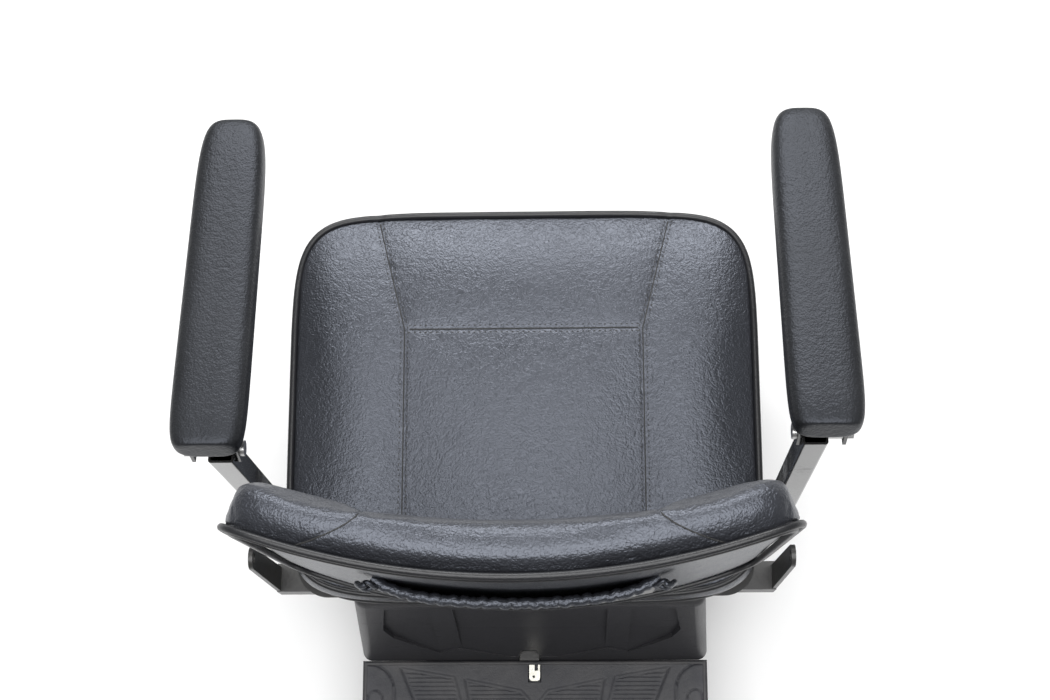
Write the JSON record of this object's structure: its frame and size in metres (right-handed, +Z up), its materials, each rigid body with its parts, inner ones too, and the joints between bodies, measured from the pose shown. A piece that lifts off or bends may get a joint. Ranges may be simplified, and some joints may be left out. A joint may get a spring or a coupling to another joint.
{
  "type": "mobility scooter",
  "caption": "Compact four-wheeled mobility scooter with a swivelling padded seat, fold-down backrest, flip-up armrests, flat floor, electric rear drive and a tilting steering tiller.",
  "frame": {"origin": "on the ground under the middle of the overall box", "axes": "+Z up, -Y the driving direction, X across; the seat is stored swivelled half a turn"},
  "size_m": [0.5874, 1.065, 0.9867],
  "materials": {
    "frame_paint": "gloss black",
    "steel": "machined",
    "zinc": "zinc plated",
    "body_plastic": "fine textured black",
    "floor_plastic": "matt black",
    "mat_rubber": "matt",
    "tyre": "matt",
    "rim_plastic": "grey",
    "lamp_red": "reflector",
    "lamp_clear": "clear",
    "battery_case": "matt",
    "aluminium": "cast",
    "knob_plastic": "matt",
    "control_plastic": "satin",
    "control_red": "satin",
    "control_yellow": "satin",
    "grip_rubber": "matt",
    "vinyl": "fine grained black",
    "pocket_cloth": "coated cloth",
    "board": "plywood",
    "pad_foam": "pebble grained foam skin",
    "arm_paint": "gloss black"
  },
  "bodies": {
    "chassis": {"rear_frame": "frame_paint", "front_frame": "frame_paint", "floor_pan": "floor_plastic", "floor_mat": "mat_rubber", "body_cover": "body_plastic", "rear_bumper": "floor_plastic", "tail_lights": "lamp_red", "battery_pack": "battery_case", "controller": "aluminium", "transaxle_case": "aluminium", "motor_housing": "frame_paint", "front_fairing": "body_plastic", "headlight": "lamp_clear", "hook_plate": "zinc", "post_tube": "frame_paint"},
    "latch": {"latch_lever": "knob_plastic"},
    "battery_bail": {"battery_handle": "knob_plastic"},
    "freewheel": {"freewheel_lever": "control_yellow"},
    "anti_tip": {"anti_tip_wheels": "tyre"},
    "rear_drive": {"rear_axle": "steel", "rear_rims": "rim_plastic", "rear_tyres": "tyre", "drive_gear": "steel"},
    "rotor": {"motor_rotor": "steel"},
    "steering": {"steering_stem": "frame_paint"},
    "knuckle_left": {"knuckle_left": "steel"},
    "knuckle_right": {"knuckle_right": "steel"},
    "front_wheel_left": {"front_rim_left": "rim_plastic", "front_tyre_left": "tyre"},
    "front_wheel_right": {"front_rim_right": "rim_plastic", "front_tyre_right": "tyre"},
    "tie_rod": {"tie_rod": "steel"},
    "tiller": {"tiller_column": "arm_paint", "console": "control_plastic", "handlebar": "arm_paint", "handle_grips": "grip_rubber"},
    "tilt_lever": {"tilt_lever": "knob_plastic"},
    "throttle": {"throttle_paddle": "control_plastic"},
    "dial": {"speed_dial": "knob_plastic"},
    "key": {"key": "control_yellow"},
    "horn": {"horn_button": "control_red"},
    "seat_lift": {"seat_post": "steel"},
    "post_knob": {"post_knob": "knob_plastic"},
    "seat": {"seat_frame": "frame_paint", "seat_board": "board", "seat_cushion": "vinyl"},
    "swivel_lever": {"swivel_lever": "arm_paint"},
    "backrest": {"back_board": "frame_paint", "back_cushion": "vinyl", "back_pocket": "pocket_cloth"},
    "arm_left": {"arm_left": "arm_paint"},
    "arm_right": {"arm_right": "arm_paint"},
    "arm_knob_left": {"arm_knob_left": "knob_plastic"},
    "arm_knob_right": {"arm_knob_right": "knob_plastic"},
    "pad_left": {"arm_pad_left": "pad_foam", "pad_bracket_left": "arm_paint", "pad_bolt_left": "steel"},
    "pad_right": {"arm_pad_right": "pad_foam", "pad_bracket_right": "arm_paint", "pad_bolt_right": "steel"}
  },
  "joints": [
    {"name": "latch_lift", "type": "hinge", "parent": "chassis", "child": "latch", "pos_m": [-0.006, 0.059, 0.146], "axis": [-1, 0, 0], "range_deg": [0, 40]},
    {"name": "battery_handle_lift", "type": "hinge", "parent": "chassis", "child": "battery_bail", "pos_m": [0, 0.1665, 0.327], "axis": [-1, 0, 0], "range_deg": [0, 85]},
    {"name": "freewheel_switch", "type": "hinge", "parent": "chassis", "child": "freewheel", "pos_m": [0.095, 0.4325, 0.105], "axis": [1, 0, 0], "range_deg": [0, 30]},
    {"name": "anti_tip_roll", "type": "hinge", "parent": "chassis", "child": "anti_tip", "pos_m": [0, 0.4955, 0.037], "axis": [1, 0, 0], "continuous": true},
    {"name": "rear_wheel_roll", "type": "hinge", "parent": "chassis", "child": "rear_drive", "pos_m": [0, 0.3725, 0.105], "axis": [1, 0, 0], "continuous": true},
    {"name": "motor_spin", "type": "hinge", "parent": "chassis", "child": "rotor", "pos_m": [0, 0.4325, 0.105], "axis": [1, 0, 0], "continuous": true},
    {"name": "steer", "type": "hinge", "parent": "chassis", "child": "steering", "pos_m": [0, -0.4125, 0.12], "axis": [0, 0, 1], "range_deg": [-30, 30]},
    {"name": "knuckle_left_steer", "type": "hinge", "parent": "chassis", "child": "knuckle_left", "pos_m": [0.165, -0.4125, 0.095], "axis": [0, 0, 1], "range_deg": [-30, 30]},
    {"name": "knuckle_right_steer", "type": "hinge", "parent": "chassis", "child": "knuckle_right", "pos_m": [-0.165, -0.4125, 0.095], "axis": [0, 0, 1], "range_deg": [-30, 30]},
    {"name": "tie_rod_pivot", "type": "hinge", "parent": "knuckle_left", "child": "tie_rod", "pos_m": [0.165, -0.3525, 0.06], "axis": [0, 0, 1], "range_deg": [-30, 30]},
    {"name": "front_wheel_left_roll", "type": "hinge", "parent": "knuckle_left", "child": "front_wheel_left", "pos_m": [0.218, -0.4125, 0.095], "axis": [1, 0, 0], "continuous": true},
    {"name": "front_wheel_right_roll", "type": "hinge", "parent": "knuckle_right", "child": "front_wheel_right", "pos_m": [-0.218, -0.4125, 0.095], "axis": [1, 0, 0], "continuous": true},
    {"name": "tiller_tilt", "type": "hinge", "parent": "steering", "child": "tiller", "pos_m": [0, -0.4125, 0.24], "axis": [1, 0, 0], "range_deg": [-3, 16]},
    {"name": "tilt_lever_turn", "type": "hinge", "parent": "tiller", "child": "tilt_lever", "pos_m": [-0.037, -0.4125, 0.24], "axis": [1, 0, 0], "range_deg": [0, 60]},
    {"name": "throttle_rock", "type": "hinge", "parent": "tiller", "child": "throttle", "pos_m": [0, -0.193, 0.81848], "axis": [1, 0, 0], "range_deg": [-14, 14], "stiffness_Nm_per_rad": 1.2},
    {"name": "speed_dial_turn", "type": "hinge", "parent": "tiller", "child": "dial", "pos_m": [0, -0.18216, 0.89067], "axis": [0, 0.309, 0.9511], "range_deg": [0, 270]},
    {"name": "key_turn", "type": "hinge", "parent": "tiller", "child": "key", "pos_m": [-0.046, -0.18596, 0.8919], "axis": [0, 0.309, 0.9511], "range_deg": [0, 90]},
    {"name": "horn_press", "type": "slide", "parent": "tiller", "child": "horn", "axis": [0, -0.309, -0.9511], "range_m": [0, 0.002], "stiffness_N_per_m": 500},
    {"name": "seat_height", "type": "slide", "parent": "chassis", "child": "seat_lift", "axis": [0, 0, 1], "range_m": [-0.025, 0.05]},
    {"name": "post_knob_turn", "type": "hinge", "parent": "chassis", "child": "post_knob", "pos_m": [-0.03, 0.2775, 0.421], "axis": [-1, 0, 0], "continuous": true},
    {"name": "seat_swivel", "type": "hinge", "parent": "seat_lift", "child": "seat", "pos_m": [0, 0.2775, 0.486], "axis": [0, 0, 1], "continuous": true},
    {"name": "swivel_lever_pull", "type": "hinge", "parent": "seat", "child": "swivel_lever", "pos_m": [0.072, 0.3395, 0.478], "axis": [0, 0, 1], "range_deg": [0, 15], "stiffness_Nm_per_rad": 1.5},
    {"name": "backrest_fold", "type": "hinge", "parent": "seat", "child": "backrest", "pos_m": [0, 0.108, 0.68], "axis": [-1, 0, 0], "range_deg": [0, 75]},
    {"name": "arm_width_left", "type": "slide", "parent": "seat", "child": "arm_left", "axis": [-1, 0, 0], "range_m": [0, 0.03]},
    {"name": "arm_knob_left_turn", "type": "hinge", "parent": "seat", "child": "arm_knob_left", "pos_m": [-0.176, 0.17663, 0.48801], "axis": [0, 0.0349, 0.9994], "continuous": true},
    {"name": "arm_pad_left_lift", "type": "hinge", "parent": "arm_left", "child": "pad_left", "pos_m": [-0.262, 0.19135, 0.78068], "axis": [1, 0, 0], "range_deg": [0, 90]},
    {"name": "arm_width_right", "type": "slide", "parent": "seat", "child": "arm_right", "axis": [1, 0, 0], "range_m": [0, 0.03]},
    {"name": "arm_knob_right_turn", "type": "hinge", "parent": "seat", "child": "arm_knob_right", "pos_m": [0.176, 0.17554, 0.48808], "axis": [0, 0.0785, 0.9969], "continuous": true},
    {"name": "arm_pad_right_lift", "type": "hinge", "parent": "arm_right", "child": "pad_right", "pos_m": [0.262, 0.20301, 0.77982], "axis": [1, 0, 0], "range_deg": [0, 90]}
  ],
  "couplings": [
    {"joint": "motor_spin", "follows": "rear_wheel_roll", "ratio": -5},
    {"joint": "knuckle_left_steer", "follows": "steer", "ratio": 1},
    {"joint": "knuckle_right_steer", "follows": "steer", "ratio": 1},
    {"joint": "tie_rod_pivot", "follows": "steer", "ratio": -1}
  ]
}
